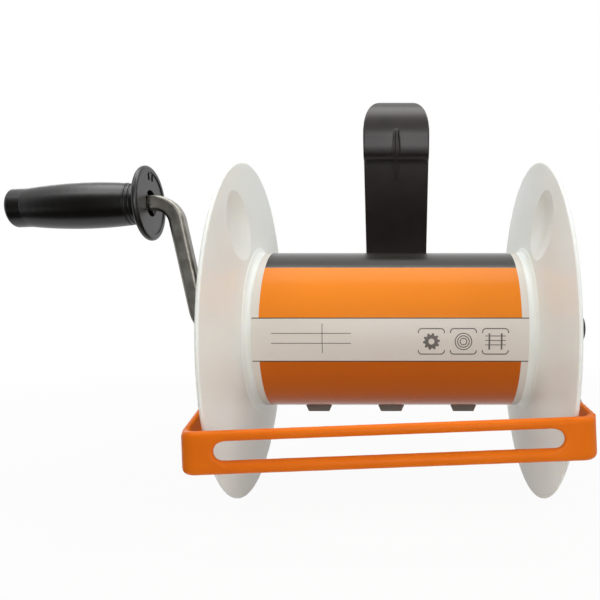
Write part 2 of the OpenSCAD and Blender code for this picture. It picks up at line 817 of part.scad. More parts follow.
// Section through an end of the guide: both bars flush in front with the wall that joins them
module guide_section() {
    for (bar = guide_bars) translate(bar) circle(bar.x);
    translate([hair, wall_low]) square([guide_wall, wall_h]);
}
module guide_loop() {
    straight_half = guide_half - guide_corner_r;
    lap = 0.2;
    at_guide() {
        for (bar = guide_bars) translate([0, bar.x, bar.y]) rotate([0, 90, 0])
            cylinder(r = bar.x - hair, h = 2 * (straight_half + lap), center = true);
        translate([0, hair + guide_wall, 0]) rotate([90, 0, 0]) linear_extrude(guide_wall) difference() {
            translate([-straight_half - lap, wall_low]) square([2 * (straight_half + lap), wall_h]);
            square([slot_len - slot_h, 2 * wall_h], center = true);
            for (s = [-1, 1]) translate([s * (slot_len - slot_h) / 2, 0]) circle(slot_h / 2);
        }
        for (s = [0, 1]) mirror([s, 0, 0]) translate([straight_half, guide_corner_r, 0]) {
            rotate(-90) rotate_extrude(angle = 90, $fn = 96)
                translate([guide_corner_r, 0]) mirror([1, 0]) guide_section();
            for (bar = guide_bars) translate([guide_corner_r - bar.x, 0, bar.y]) sphere(bar.x - hair);
        }
    }
}
// What comes off below the guide's ends, so that their lower corners are round
module guide_feet() {
    shift = 0.4;
    reach = 4 * guide_corner_r;
    at_guide() for (s = [0, 1]) mirror([s, 0, 0])
        translate([guide_half - guide_foot_r + shift, -cut, guide_foot_r - guide_low - shift])
            rotate([-90, 0, 0])
            linear_extrude(reach) difference() {
                square(2 * guide_foot_r);
                circle(guide_foot_r);
            }
}
module guide_arm(fall) {
    slot_up = -guide_drop - fall;
    lap = 1;
    front = guide_corner_r - guide_front - lap;
    rib_r = 3;
    difference() {
        union() {
            translate([0, 0, arm_in]) linear_extrude(guide_arm_t) {
                polygon([
                    [slot_up + guide_top, front], arm_fix + [arm_fix_r - hair, 0],
                    arm_fix - [arm_fix_r - hair, 0], [slot_up - guide_low, front]
                ]);
                translate(arm_fix) circle(arm_fix_r);
            }
            translate([0, 0, arm_in - guide_rib_h]) linear_extrude(guide_rib_h + overlap)
                link([slot_up, front + 2 * rib_r], rib_r, arm_fix, rib_r);
        }
        arm_screw_places() rod(guide_screw_d / 2 + seat_gap, arm_in - guide_rib_h - cut, plate_in + cut);
    }
}
module wire_guide() {
    color(orange_pp) difference() {
        union() {
            guide_loop();
            left() guide_arm(guide_end_fall);
            right() guide_arm(-guide_end_fall);
        }
        guide_feet();
    }
}
module guide_screws() {
    color(grey_steel) both() arm_screw_places() translate([0, 0, plate_out])
        pan_screw(guide_screw_d, plate_t + guide_arm_t);
}

// Spool: one half, with its flange, its half of the drum, its web and its hub
module half_section() {
    polygon([
        [drum_ir, 0], [drum_r, 0], [drum_r, root_a], [rim_r, rim_a - bead_r + hair],
        [rim_r, rim_a + bead_r - hair], [drum_r, root_a + flange_t], [drum_ir, root_a + flange_t]
    ]);
    translate([rim_r, rim_a]) circle(bead_r);
    translate([drum_r - overlap, root_a - root_fillet]) difference() {
        polygon([
            [0, 0], [overlap, 0], [overlap + root_fillet, root_fillet + flange_slope * root_fillet],
            [overlap + root_fillet, root_fillet + cut], [0, root_fillet + cut]
        ]);
        translate([overlap + root_fillet, 0]) circle(root_fillet);
    }
    translate([hub_r - overlap, web_in]) square([drum_ir - hub_r + 2 * overlap, web_t]);
    translate([bush_r + seat_gap, hub_in]) square([hub_r - bush_r - seat_gap, hub_len]);
}
// Frame of the scooped recess: origin on the flange's inner face, z along its outward normal
module at_recess() {
    rotate(-recess_angle) translate([recess_r, 0, face_a(recess_r)]) rotate([0, -atan(flange_slope), 0])
        children();
}
module recess_cap(r, from, to) {
    at_recess() intersection() {
        translate([0, 0, recess_depth - recess_ball_r]) sphere(r, $fn = 96);
        translate([-recess_ball_r, -recess_ball_r, from])
            cube([2 * recess_ball_r, 2 * recess_ball_r, to - from]);
    }
}
module spool_half() {
    difference() {
        union() {
            rotate_extrude($fn = 128) half_section();
            recess_cap(recess_ball_r + flange_t, flange_t / 2, recess_depth + flange_t + cut);
        }
        recess_cap(recess_ball_r, -cut, recess_depth + cut);
        children();
    }
}
module joint_screw_places() {
    screw_sink = 0.4;
    for (i = [0:3]) rotate(90 * i + 45) translate([drum_r - screw_sink, 0, -spigot_len / 2])
        rotate([0, 90, 0]) children();
}
// Countersunk screw, a little below the drum's surface, and its hole
module joint_screw(gap) {
    r = joint_screw_d / 2;
    rod(r + gap, -drum_wall - spigot_wall - cut, -r);
    translate([0, 0, -r]) cylinder(r1 = r + gap, r2 = 2 * r + gap, h = r);
}
module joint_hole() {
    joint_screw(seat_gap);
    rod(joint_screw_d + seat_gap, -hair, cut);
}
module left_spool_half() {
    color(white_pp) left() spool_half() {
        mirror([0, 0, 1]) joint_screw_places() joint_hole();
        sun_screw_places() sun_screw(seat_gap);
    }
}
module right_spool_half() {
    spigot_r = drum_ir - seat_gap;
    rib_from = axle_boss_d / 2 + turning_room;
    color(white_pp) right() difference() {
        union() {
            spool_half();
            tube(spigot_r, spigot_r - spigot_wall, -spigot_len, overlap);
            tube(drum_ir + overlap, spigot_r - spigot_wall, 0, spigot_len);
            for (i = [0:5]) rotate(60 * i) translate([rib_from, -web_rib_t / 2, web_out - overlap])
                cube([drum_ir - rib_from + overlap, web_rib_t, web_recess / 2]);
        }
        joint_screw_places() joint_hole();
    }
}
module spool_screws() {
    color(grey_steel) right() joint_screw_places() joint_screw(0);
}
module left_spool_bush() {
    color(bronze) left() {
        tube(bush_r, bush_ir, hub_in - bush_flange_t, web_out);
        tube(bush_r + bush_flange_w, bush_ir, hub_in - bush_flange_t, hub_in);
    }
}
module right_spool_bush() {
    color(bronze) right() {
        tube(bush_r, bush_ir, hub_in, web_out + bush_flange_t);
        tube(bush_r + bush_flange_w, bush_ir, web_out, web_out + bush_flange_t);
    }
}

// Card sleeve, with three closing tabs along its lower edge
module card_sleeve() {
    sleeve_r = drum_r + seat_gap;
    tab_slant = 3;
    color(card_orange) at_axle() {
        rotate([0, 90, 0]) translate([0, 0, -card_w / 2]) linear_extrude(card_w)
            ring2d(sleeve_r + card_t, sleeve_r, $fn = 128);
        for (i = [-1:1]) translate([i * tab_pitch, card_t / 2, -sleeve_r]) rotate([90, 0, 0])
            linear_extrude(card_t)
            polygon([
                [-tab_w / 2, -card_t / 2], [tab_w / 2, -card_t / 2],
                [tab_w / 2 - tab_slant, -card_t - tab_h], [-tab_w / 2 + tab_slant, -card_t - tab_h]
            ]);
    }
}

// Crank
// The legs reach a little way into the bends, and are a hair slimmer so that they stay inside them
module straight(from, angle, length) {
    translate(from - overlap * dir(angle)) rotate(angle) rotate([90, 0, 90])
        linear_extrude(length + 2 * overlap) rounded_square(bar_s - 2 * hair, bar_edge_r);
}
module bend(centre, from, sweep) {
    translate(centre) rotate(from) rotate_extrude(angle = sweep, $fn = 96) translate([bend_r, 0])
        rounded_square(bar_s, bar_edge_r);
}
module crank_bar() {
    bar_from = socket_in + stack_gap + overlap;
    lower_setback = bend_r * tan(arm_angle / 2);
    upper_turn = arm_angle + grip_droop;
    upper_setback = bend_r * tan(upper_turn / 2);
    arm_len = norm(corner - foot) - lower_setback - upper_setback;
    lower_centre = foot + [-lower_setback, bend_r];
    upper_centre = corner + upper_setback * dir(-grip_droop) - bend_r * dir(90 - grip_droop);
    color(grey_steel) difference() {
        union() {
            crank_plane() {
                straight([bar_from, 0], 0, crank_out - lower_setback - bar_from);
                bend(lower_centre, -90, arm_angle);
                straight(foot + lower_setback * dir(arm_angle), arm_angle, arm_len);
                bend(upper_centre, 90 - grip_droop, upper_turn);
                straight(corner + upper_setback * dir(-grip_droop), -grip_droop,
                    grip_start - stack_gap - upper_setback);
            }
            on_spindle() rod(spindle_r, grip_start - stack_gap - overlap, spindle_end);
        }
        left() crank_pin_shape(seat_gap, carrier_hub_r + cut);
    }
}
module crank_pin_shape(gap, reach) {
    translate([0, 0, bush_out + hub_proud / 2]) rotate([90, 0, 0])
        cylinder(r = spring_pin_d / 2 + gap, h = 2 * reach, center = true);
}
module crank_pin() {
    color(grey_steel) left() crank_pin_shape(0, carrier_hub_r - stack_gap);
}
module grip_clip() {
    color(grey_steel) on_spindle()
        tube(pocket_d / 2 - turning_room, spindle_r + seat_gap, clip_at, clip_at + grip_clip_t);
}

// Grip: guard, neck, belly and tail in one turned outline
belly_steps = 12;
belly_lip = 0.2;
belly_from = grip_start + guard_t + neck_len;
belly_to = grip_end - cap_len;
function belly_r(s) =
    let (bulge = 4 * s * (1 - s), taper = neck_d + (tail_d - neck_d) * s)
    (taper + (belly_d - (neck_d + tail_d) / 2) * bulge) / 2 + belly_lip;
module grip() {
    guard_r = guard_d / 2;
    edge = guard_t / 2;
    neck_r = neck_d / 2;
    groove = 0.8;
    dish_r = guard_r - guard_t;
    dish_deep = 0.8;
    eye_r = 11;
    eye_deep = 7;
    rib = 2;
    rib_low = 1.5;
    pit_r = 2;
    pit_angle = 9;
    pit_out = dish_r - 2.2 * pit_r;
    color(black_pp) on_spindle() difference() {
        union() {
            rotate_extrude() difference() {
                union() {
                    translate([guard_r - edge, grip_start + edge]) circle(edge);
                    translate([0, grip_start]) square([guard_r - edge, guard_t]);
                    translate([0, grip_start]) square([neck_r, guard_t + neck_len]);
                    polygon(concat(
                        [[0, belly_to], [0, belly_from]],
                        [for (i = [0:belly_steps])
                            let (s = i / belly_steps)
                            [belly_r(s), belly_from + (belly_to - belly_from) * s]]
                    ));
                }
                for (at = [2, 6]) translate([neck_r, belly_from - at * groove]) circle(groove);
                square([grip_bore_r, grip_end]);
                translate([0, grip_end - pocket_depth]) square([pocket_d / 2, pocket_depth]);
                translate([0, grip_start - cut]) square([eye_r, eye_deep + cut]);
                translate([0, grip_start - cut]) square([dish_r, dish_deep + cut]);
            }
            for (i = [0:3]) rotate(90 * i + 45)
                translate([grip_bore_r + stack_gap, -rib / 2, grip_start + rib_low])
                cube([eye_r - grip_bore_r, rib, eye_deep]);
        }
        for (s = [-1, 1]) rotate(90 + s * pit_angle) translate([pit_out, 0, grip_start]) {
            linear_extrude(guard_t - edge) link([-pit_r / 2, 0], pit_r, [pit_r, 0], pit_r - stack_gap);
        }
    }
}
module grip_end_cap() {
    tail_r = tail_d / 2 + belly_lip;
    plug_r = pocket_d / 2 - seat_gap;
    plug_len = 6;
    plug_wall = 2;
    edge = 2.5;
    color(black_pp) on_spindle() rotate_extrude() difference() {
        union() {
            translate([0, belly_to]) square([tail_r, cap_len - edge]);
            translate([0, grip_end - edge - overlap]) square([tail_r - edge, edge + overlap]);
            intersection() {
                translate([tail_r - edge, grip_end - edge]) circle(edge);
                translate([0, grip_end - edge - overlap]) square([tail_r, edge + overlap]);
            }
            translate([0, belly_to - plug_len]) square([plug_r, plug_len + overlap]);
        }
        translate([0, belly_to - plug_len - cut]) square([plug_r - plug_wall, plug_len + 2 * cut]);
    }
}

left_side_frame();
right_side_frame();
rear_crossbar();
crossbar_bolts();
carry_hook();
hook_bolts();
hook_nuts();
gear_case();
case_screws();
ring_gear();
crank_bush();
axle();
axle_washer();
axle_nut();
wire_guide();
guide_screws();
left_spool_half();
right_spool_half();
spool_screws();
left_spool_bush();
right_spool_bush();
sun_gear();
sun_screws();
card_sleeve();
planet_gear(0);  // planet_gear_1
planet_gear(1);  // planet_gear_2
planet_gear(2);  // planet_gear_3
planet_carrier();
planet_pins();
planet_clips();
crank_bar();
crank_pin();
grip_clip();
grip();
grip_end_cap();
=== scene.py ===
import json
import math
import bpy
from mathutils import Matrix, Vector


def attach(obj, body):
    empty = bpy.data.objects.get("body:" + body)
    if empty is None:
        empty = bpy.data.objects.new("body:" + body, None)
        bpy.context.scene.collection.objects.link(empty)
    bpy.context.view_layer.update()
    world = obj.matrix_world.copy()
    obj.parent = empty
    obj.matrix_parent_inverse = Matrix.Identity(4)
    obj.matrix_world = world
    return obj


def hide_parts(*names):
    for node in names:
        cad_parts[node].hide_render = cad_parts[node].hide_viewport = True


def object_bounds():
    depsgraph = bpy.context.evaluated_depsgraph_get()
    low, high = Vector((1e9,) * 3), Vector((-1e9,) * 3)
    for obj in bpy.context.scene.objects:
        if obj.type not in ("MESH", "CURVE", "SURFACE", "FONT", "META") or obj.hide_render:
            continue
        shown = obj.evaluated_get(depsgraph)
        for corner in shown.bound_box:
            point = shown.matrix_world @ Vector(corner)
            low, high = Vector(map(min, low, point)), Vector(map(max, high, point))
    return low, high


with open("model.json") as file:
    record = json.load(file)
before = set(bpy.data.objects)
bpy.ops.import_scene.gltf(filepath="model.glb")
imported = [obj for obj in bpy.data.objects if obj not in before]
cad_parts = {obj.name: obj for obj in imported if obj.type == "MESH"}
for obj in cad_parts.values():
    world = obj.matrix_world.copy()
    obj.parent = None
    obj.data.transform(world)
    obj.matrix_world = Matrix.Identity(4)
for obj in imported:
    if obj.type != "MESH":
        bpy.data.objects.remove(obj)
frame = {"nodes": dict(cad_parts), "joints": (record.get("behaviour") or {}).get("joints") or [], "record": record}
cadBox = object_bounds()
nodes = frame["nodes"]
mm = 0.001
spoolJoint = next(joint for joint in frame["joints"] if joint["child"] == "spool")
axle = tuple(spoolJoint["pos_m"])  # the spool's middle, seen from the hook's round
hookMount = frame["record"]["mounts"][0]
print("frame loaded:", len(nodes), "nodes")


def linearColour(hexValue):
    channels = [int(hexValue[i:i + 2], 16) / 255 for i in (1, 3, 5)]
    return [c / 12.92 if c <= 0.04045 else ((c + 0.055) / 1.055) ** 2.4 for c in channels] + [1.0]


# Settings that name an attribute of the node set it, the others set an input socket
def addNode(tree, kind, settings, links={}):
    node = tree.nodes.new("ShaderNode" + kind)
    for key, value in settings.items():
        if isinstance(key, str) and hasattr(node, key):
            setattr(node, key, value)
        else:
            node.inputs[key].default_value = value
    for key, source in links.items():
        tree.links.new(source, node.inputs[key])
    return node


def newMaterial(name):
    material = bpy.data.materials.new(name)
    material.use_nodes = True
    material.node_tree.nodes.clear()
    return material, material.node_tree


# What the plain surfaces share, unless one has a value of its own. Their real grain is finer than
# the one given with each, which is as coarse as it needs to be to show.
surfaceLook = {
    "edge": 0.5, "edgeSamples": 4, "tones": (0.3, 0.7), "cloudDetail": 3, "wave": 0.1, "waveDeep": 0.3,
    "grainDetail": 2, "grainDeep": 0.1,
}  # millimetres, apart from counts, strengths and shares


# A surface with soft edges, two tones, a fine grain and a slow waviness, all in object space.
# No range of roughness crosses 0.27, where the denoiser would leave grey specks.
def surface(name, ownLook):
    look = {**surfaceLook, **ownLook}
    material, tree = newMaterial(name)
    place = addNode(tree, "TexCoord", {}).outputs["Object"]
    edge = addNode(tree, "Bevel", {"samples": look["edgeSamples"], "Radius": look["edge"] * mm})
    grain = addNode(tree, "TexNoise", {"Scale": 1 / (look["grain"] * mm), "Detail": look["grainDetail"]},
                    {"Vector": place}).outputs["Fac"]
    cloud = addNode(tree, "TexNoise", {"Scale": 1 / (look["cloud"] * mm), "Detail": look["cloudDetail"]},
                    {"Vector": place}).outputs["Fac"]
    tone = addNode(tree, "ValToRGB", {}, {0: cloud})
    lowStop, highStop = tone.color_ramp.elements
    lowStop.position, highStop.position = look["tones"]
    lowStop.color, highStop.color = linearColour(look["low"]), linearColour(look["high"])
    glossiest, dullest = look["rough"]
    rough = addNode(tree, "MapRange", {"To Min": glossiest, "To Max": dullest}, {"Value": cloud})
    wave = addNode(tree, "Bump", {"Strength": look["wave"], "Distance": look["waveDeep"] * mm},
                   {"Height": cloud, "Normal": edge.outputs[0]})
    fine = addNode(tree, "Bump", {"Strength": look["bump"], "Distance": look["grainDeep"] * mm},
                   {"Height": grain, "Normal": wave.outputs[0]})
    shader = addNode(tree, "BsdfPrincipled", look["shader"],
                     {"Base Color": tone.outputs[0], "Roughness": rough.outputs[0],
                      "Normal": fine.outputs[0]})
    addNode(tree, "OutputMaterial", {}, {"Surface": shader.outputs[0]})
    return material


# Moulded polypropylene lets a little light through, so edges glow and shadows stay soft
whitePolypropylene = surface("mouldedWhitePolypropylene", {
    "low": "#EEF1E9", "high": "#F3F6EF", "grain": 0.8, "cloud": 60, "wave": 0.02, "bump": 0.03,
    "rough": (0.29, 0.35),
    "shader": {"IOR": 1.49, "Specular IOR Level": 0.35, "Subsurface Weight": 0.6,
               "Subsurface Radius": (6 * mm, 5.4 * mm, 4.4 * mm), "Subsurface Scale": 1.0}})
# The guide is the same plastic, dyed through
orangePolypropylene = surface("mouldedOrangePolypropylene", {
    "low": "#E06C0A", "high": "#E6730E", "grain": 0.8, "cloud": 30, "bump": 0.06, "rough": (0.36, 0.44),
    "shader": {"IOR": 1.49, "Specular IOR Level": 0.12, "Subsurface Weight": 0.1,
               "Subsurface Radius": (2 * mm, 0.8 * mm, 0.3 * mm), "Subsurface Scale": 1.0}})
# Spark-eroded moulds leave the black frame a fine dull texture
blackNylon = surface("mouldedBlackNylon", {
    "low": "#1C1B19", "high": "#242321", "grain": 0.6, "cloud": 25, "bump": 0.25, "rough": (0.48, 0.6),
    "shader": {"IOR": 1.53, "Specular IOR Level": 0.3}})
# The grip's mould was polished, so it takes a soft highlight along its top
gripPolypropylene = surface("mouldedGripPolypropylene", {
    "low": "#0D0B0A", "high": "#12100F", "grain": 0.7, "cloud": 30, "bump": 0.1, "rough": (0.28, 0.34),
    "shader": {"IOR": 1.49, "Specular IOR Level": 0.5}})
# Powder coat pulls into a faint orange peel as it melts
coatedSteel = surface("powderCoatedSteel", {
    "low": "#17100E", "high": "#1E1614", "grain": 1.6, "cloud": 18, "bump": 0.12, "rough": (0.34, 0.42),
    "shader": {"IOR": 1.5, "Specular IOR Level": 0.45}})
# Drawn bar has well rounded corners and dulls unevenly in the hand
drawnSteel = surface("drawnSteel", {
    "low": "#7E7B74", "high": "#9C9992", "grain": 0.7, "cloud": 9, "edge": 1.6, "bump": 0.15,
    "rough": (0.32, 0.44), "shader": {"Metallic": 1.0}})
# Barrel plating leaves small parts bright, with a little cloud
zincPlatedSteel = surface("zincPlatedSteel", {
    "low": "#B4B6B8", "high": "#C9CBCC", "grain": 0.4, "cloud": 4, "bump": 0.08, "rough": (0.28, 0.38),
    "shader": {"Metallic": 1.0}})
# Undyed nylon is a waxy ivory
gearNylon = surface("mouldedNaturalNylon", {
    "low": "#D9D2C0", "high": "#E2DCCC", "grain": 0.6, "cloud": 12, "bump": 0.06, "rough": (0.36, 0.46),
    "shader": {"IOR": 1.53, "Subsurface Weight": 0.2,
               "Subsurface Radius": (2 * mm, 1.8 * mm, 1.3 * mm), "Subsurface Scale": 1.0}})
# A die casting is dull and slightly mottled
castAluminium = surface("dieCastAluminium", {
    "low": "#9C9C9A", "high": "#B0B0AE", "grain": 0.8, "cloud": 6, "bump": 0.3, "rough": (0.42, 0.58),
    "shader": {"Metallic": 1.0}})
# Sintered bronze is porous and oily
sinteredBronze = surface("sinteredBronze", {
    "low": "#8F6B3C", "high": "#A98352", "grain": 0.35, "cloud": 3, "bump": 0.3, "rough": (0.4, 0.55),
    "shader": {"Metallic": 1.0}})
# Screen ink stands a little proud of the board and is duller
printInk = surface("screenPrintedInk", {
    "low": "#57504A", "high": "#615A53", "grain": 0.4, "cloud": 5, "bump": 0.05, "rough": (0.4, 0.5),
    "shader": {"IOR": 1.5}})
print("plain materials made")

# Print on coated board: flat colours under a thin even gloss, with bare board along both edges.
# The fibre is drawn coarser than it is, so that it shows.
cardLook = {
    "board": "#DDD7CF", "orange": "#EC8729", "deepOrange": "#C4600F", "black": "#24221E",
    # The tab grey is grey board, darkened further with painted shade from under the drum
    "rule": "#4A4540", "tab": "#77726C",
    "radius": 62.75, "tabStep": 0.3, "printHalf": 96.3, "strip": (-20.5, 9.0), "blackFrom": 50.0,
    "ruleHalf": 0.35, "fibre": 0.9, "fibreDetail": 3, "speckle": (0.94, 1.04), "relief": 0.08,
    "reliefDeep": 0.05, "rough": 0.2, "gloss": (0.08, 0.4),
}  # millimetres, degrees up from the front, and shares
cardTints = {key: linearColour(cardLook[key])
             for key in ("board", "orange", "deepOrange", "black", "rule", "tab")}
printedCard, cardTree = newMaterial("offsetPrintedCard")
cardPlace = addNode(cardTree, "TexCoord", {}).outputs["Object"]
fromAxle = addNode(cardTree, "VectorMath", {"operation": "SUBTRACT", 1: axle},
                   {0: cardPlace}).outputs[0]
along, back, up = addNode(cardTree, "SeparateXYZ", {}, {0: fromAxle}).outputs
front = addNode(cardTree, "Math", {"operation": "MULTIPLY", 1: -1.0}, {0: back}).outputs[0]
roundDrum = addNode(cardTree, "Math", {"operation": "ARCTAN2"}, {0: up, 1: front}).outputs[0]
degrees = addNode(cardTree, "Math", {"operation": "DEGREES"}, {0: roundDrum}).outputs[0]
across = addNode(cardTree, "VectorMath", {"operation": "MULTIPLY", 1: (0, 1, 1)},
                 {0: fromAxle}).outputs[0]
radius = addNode(cardTree, "VectorMath", {"operation": "LENGTH"}, {0: across}).outputs["Value"]
stripLow, stripHigh = cardLook["strip"]
stripMid, stripHalf = (stripLow + stripHigh) / 2, (stripHigh - stripLow) / 2
tabFrom = (cardLook["radius"] + cardLook["tabStep"]) * mm
# Where each print lies
lowZone = addNode(cardTree, "Math", {"operation": "LESS_THAN", 1: stripLow}, {0: degrees})
blackZone = addNode(cardTree, "Math", {"operation": "GREATER_THAN", 1: cardLook["blackFrom"]},
                    {0: degrees}).outputs[0]
printZone = addNode(cardTree, "Math", {"operation": "COMPARE", 1: 0.0, 2: cardLook["printHalf"] * mm},
                    {0: along})
stripZone = addNode(cardTree, "Math", {"operation": "COMPARE", 1: stripMid, 2: stripHalf}, {0: degrees})
highRule = addNode(cardTree, "Math", {"operation": "COMPARE", 1: stripHigh, 2: cardLook["ruleHalf"]},
                   {0: degrees})
lowRule = addNode(cardTree, "Math", {"operation": "COMPARE", 1: stripLow, 2: cardLook["ruleHalf"]},
                  {0: degrees})
# The tabs that stand out under the drum take the tab grey, which holds painted shade
tabZone = addNode(cardTree, "Math", {"operation": "GREATER_THAN", 1: tabFrom}, {0: radius})
# The colours, each laid over those before it
colour = addNode(cardTree, "Mix", {"data_type": "RGBA", 6: cardTints["orange"],
                                   7: cardTints["deepOrange"]}, {0: lowZone.outputs[0]}).outputs[2]
colour = addNode(cardTree, "Mix", {"data_type": "RGBA", 7: cardTints["black"]},
                 {0: blackZone, 6: colour}).outputs[2]
colour = addNode(cardTree, "Mix", {"data_type": "RGBA", 6: cardTints["board"]},
                 {0: printZone.outputs[0], 7: colour}).outputs[2]
for zone, tint in ((stripZone, "board"), (highRule, "rule"), (lowRule, "rule"), (tabZone, "tab")):
    colour = addNode(cardTree, "Mix", {"data_type": "RGBA", 7: cardTints[tint]},
                     {0: zone.outputs[0], 6: colour}).outputs[2]
fibre = addNode(cardTree, "TexNoise",
                {"Scale": 1 / (cardLook["fibre"] * mm), "Detail": cardLook["fibreDetail"]},
                {"Vector": cardPlace}).outputs["Fac"]
darkest, lightest = cardLook["speckle"]
speckle = addNode(cardTree, "MapRange", {"To Min": darkest, "To Max": lightest}, {"Value": fibre})
colour = addNode(cardTree, "VectorMath", {"operation": "SCALE"},
                 {0: colour, "Scale": speckle.outputs[0]}).outputs[0]
relief = addNode(cardTree, "Bump",
                 {"Strength": cardLook["relief"], "Distance": cardLook["reliefDeep"] * mm},
                 {"Height": fibre})
plainGloss, blackGloss = cardLook["gloss"]
gloss = addNode(cardTree, "MapRange", {"To Min": plainGloss, "To Max": blackGloss}, {"Value": blackZone})
cardShader = addNode(cardTree, "BsdfPrincipled", {"IOR": 1.5, "Roughness": cardLook["rough"]},
                     {"Base Color": colour, "Specular IOR Level": gloss.outputs[0],
                      "Normal": relief.outputs[0]})
addNode(cardTree, "OutputMaterial", {}, {"Surface": cardShader.outputs[0]})
print("card printed")

slotMaterials = {
    "white_plastic": whitePolypropylene, "orange_plastic": orangePolypropylene,
    "black_plastic": blackNylon, "grip_plastic": gripPolypropylene, "black_coated_steel": coatedSteel,
    "bar_steel": drawnSteel, "zinc_steel": zincPlatedSteel, "gear_nylon": gearNylon,
    "cast_aluminium": castAluminium, "bronze": sinteredBronze, "printed_card": printedCard,
}
for entry in frame["record"]["subparts"]:
    nodes[entry["node"]].data.materials.clear()
    nodes[entry["node"]].data.materials.append(slotMaterials[entry["material_slot"]])


# A finer copy of a CAD solid with its edges melted, as a mould or a press leaves them
def softCopy(name, node, look, body, slotName):
    piece = bpy.data.objects.new(name, nodes[node].data.copy())
    bpy.context.scene.collection.objects.link(piece)
    remesh = piece.modifiers.new("remesh", "REMESH")
    remesh.mode = "VOXEL"
    remesh.voxel_size = look["voxel"] * mm
    remesh.use_smooth_shade = True
    smooth = piece.modifiers.new("smooth", "SMOOTH")
    smooth.factor = look["melt"]
    smooth.iterations = look["passes"]
    bpy.context.view_layer.update()
    settled = piece.evaluated_get(bpy.context.evaluated_depsgraph_get())
    fineMesh = bpy.data.meshes.new_from_object(settled)
    piece.modifiers.clear()
    piece.data = fineMesh
    fineMesh.name = name
    fineMesh.materials.clear()
    fineMesh.materials.append(slotMaterials[slotName])
    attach(piece, body)
    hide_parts(node)
    return piece


guideLook = {"voxel": 0.8, "melt": 0.5, "passes": 8}
softCopy("guideMoulding", "wire_guide", guideLook, "frame", "orange_plastic")

# The strap stands a little proud above its fold, with a pressed dart that widens down to it
strapLook = {
    "voxel": 0.8, "melt": 0.5, "passes": 3, "inner": hookMount["dims"]["r_mm"], "thick": 4.0,
    "fold": 63.0, "proud": 4.0, "proudFrom": -15.0, "proudAt": -53.0,
    "dartFrom": -2.0, "dartTo": -62.0, "dartPeak": 0.6, "dartBlunt": 0.7, "dartWide": (0.3, 1.1),
    "ridge": 0.9, "ridgeWide": 1.2, "groove": 0.9, "grooveAt": 3.0, "grooveWide": 1.0,
}  # millimetres, degrees up from the front of the hook's round, powers and shares


def bell(distance, wide):
    return math.exp(-(distance / wide) ** 2)


def shareOf(value, start, end):
    return (value - start) / (end - start)


def eased(share):
    return share * share * (3 - 2 * share)


# How far the dart lifts the strap's outer face, at a place across it and a share down the dart
def dartLift(x, share):
    look = strapLook
    taper = math.sin(math.pi * share ** look["dartPeak"]) ** look["dartBlunt"]
    narrow, broad = look["dartWide"]
    spread = narrow + (broad - narrow) * share
    ridge = look["ridge"] * bell(x, look["ridgeWide"] * spread)
    groove = look["groove"] * bell(abs(x) - look["grooveAt"] * spread, look["grooveWide"])
    return taper * (ridge - groove)


strap = softCopy("pressedStrap", "carry_hook", strapLook, "frame", "black_coated_steel")
strapOuter = strapLook["inner"] + strapLook["thick"]
strapMiddle = strapOuter - strapLook["thick"] / 2
for vertex in strap.data.vertices:
    x, y, z = (c / mm for c in vertex.co)
    far = math.hypot(y, z)
    turn = math.degrees(math.atan2(z, -y))
    if far > strapMiddle and strapLook["dartTo"] < turn < strapLook["dartFrom"]:
        lift = dartLift(x, shareOf(turn, strapLook["dartFrom"], strapLook["dartTo"]))
        y, z = y * (1 + lift / far), z * (1 + lift / far)
    onRound = far < strapOuter + strapLook["ridge"]
    if y < 0 and onRound and -strapLook["fold"] < turn < strapLook["proudFrom"]:
        start = strapLook["proudFrom"] if turn > strapLook["proudAt"] else -strapLook["fold"]
        y -= strapLook["proud"] * eased(shareOf(turn, start, strapLook["proudAt"]))
    vertex.co = (x * mm, y * mm, z * mm)
print("guide and strap softened")

# Print on the strip of the card: a small table and three boxed signs, wrapped round the drum
signLook = {
    "ink": 0.05, "sunk": 0.05, "line": 0.5, "barStep": 2.0, "barLeast": 2,
    "boxLine": 0.8, "boxSize": 19.8, "boxCorner": 3.0, "cornerSteps": 6, "boxMiddle": -7.3,
    "boxes": (30.0, 53.4, 76.8),
    "tableFrom": -87.0, "tableTo": -28.7, "tableRows": (-1.3, -8.6), "tableColumn": -49.8,
    "tableHeight": (5.8, -16.0),
    "teeth": 10, "toothSteps": 3, "toothTip": 6.2, "toothRoot": 4.9, "gearBore": 2.2,
    "coilRings": (6.4, 4.6, 2.8), "coilLine": 0.7, "coilSteps": 40,
    "posts": (-4.5, 4.5), "postHalf": 0.6, "postReach": 6.0,
    "wires": (-2.5, 0.8, 4.1), "wireHalf": 0.3, "wireReach": 7.5,
}  # millimetres along the axle from the spool's middle, and up round the drum from its front


# A place along the axle, round the drum and out from the card
def onDrum(x, s, lift):
    r = cardLook["radius"] + lift
    a = s / cardLook["radius"]
    return (axle[0] + x * mm, axle[1] - r * math.cos(a) * mm, axle[2] + r * math.sin(a) * mm)


# Faces between rows of points, each row a closed round
def gridFaces(rows, columns):
    faces = []
    for r in range(rows - 1):
        for c in range(columns):
            n = (c + 1) % columns
            here, beyond = r * columns, (r + 1) * columns
            faces.append((here + c, here + n, beyond + n, beyond + c))
    return faces


# A closed flat ring of ink between two outlines with the same count of points
def inkLoop(outer, inner):
    top, foot = signLook["ink"], -signLook["sunk"]
    rows = ((outer, top), (inner, top), (inner, foot), (outer, foot))
    points = [onDrum(x, s, lift) for loop, lift in rows for x, s in loop]
    faces = gridFaces(len(rows) + 1, len(outer))  # the last faces close on the first row
    return points, [tuple(i % len(points) for i in face) for face in faces]


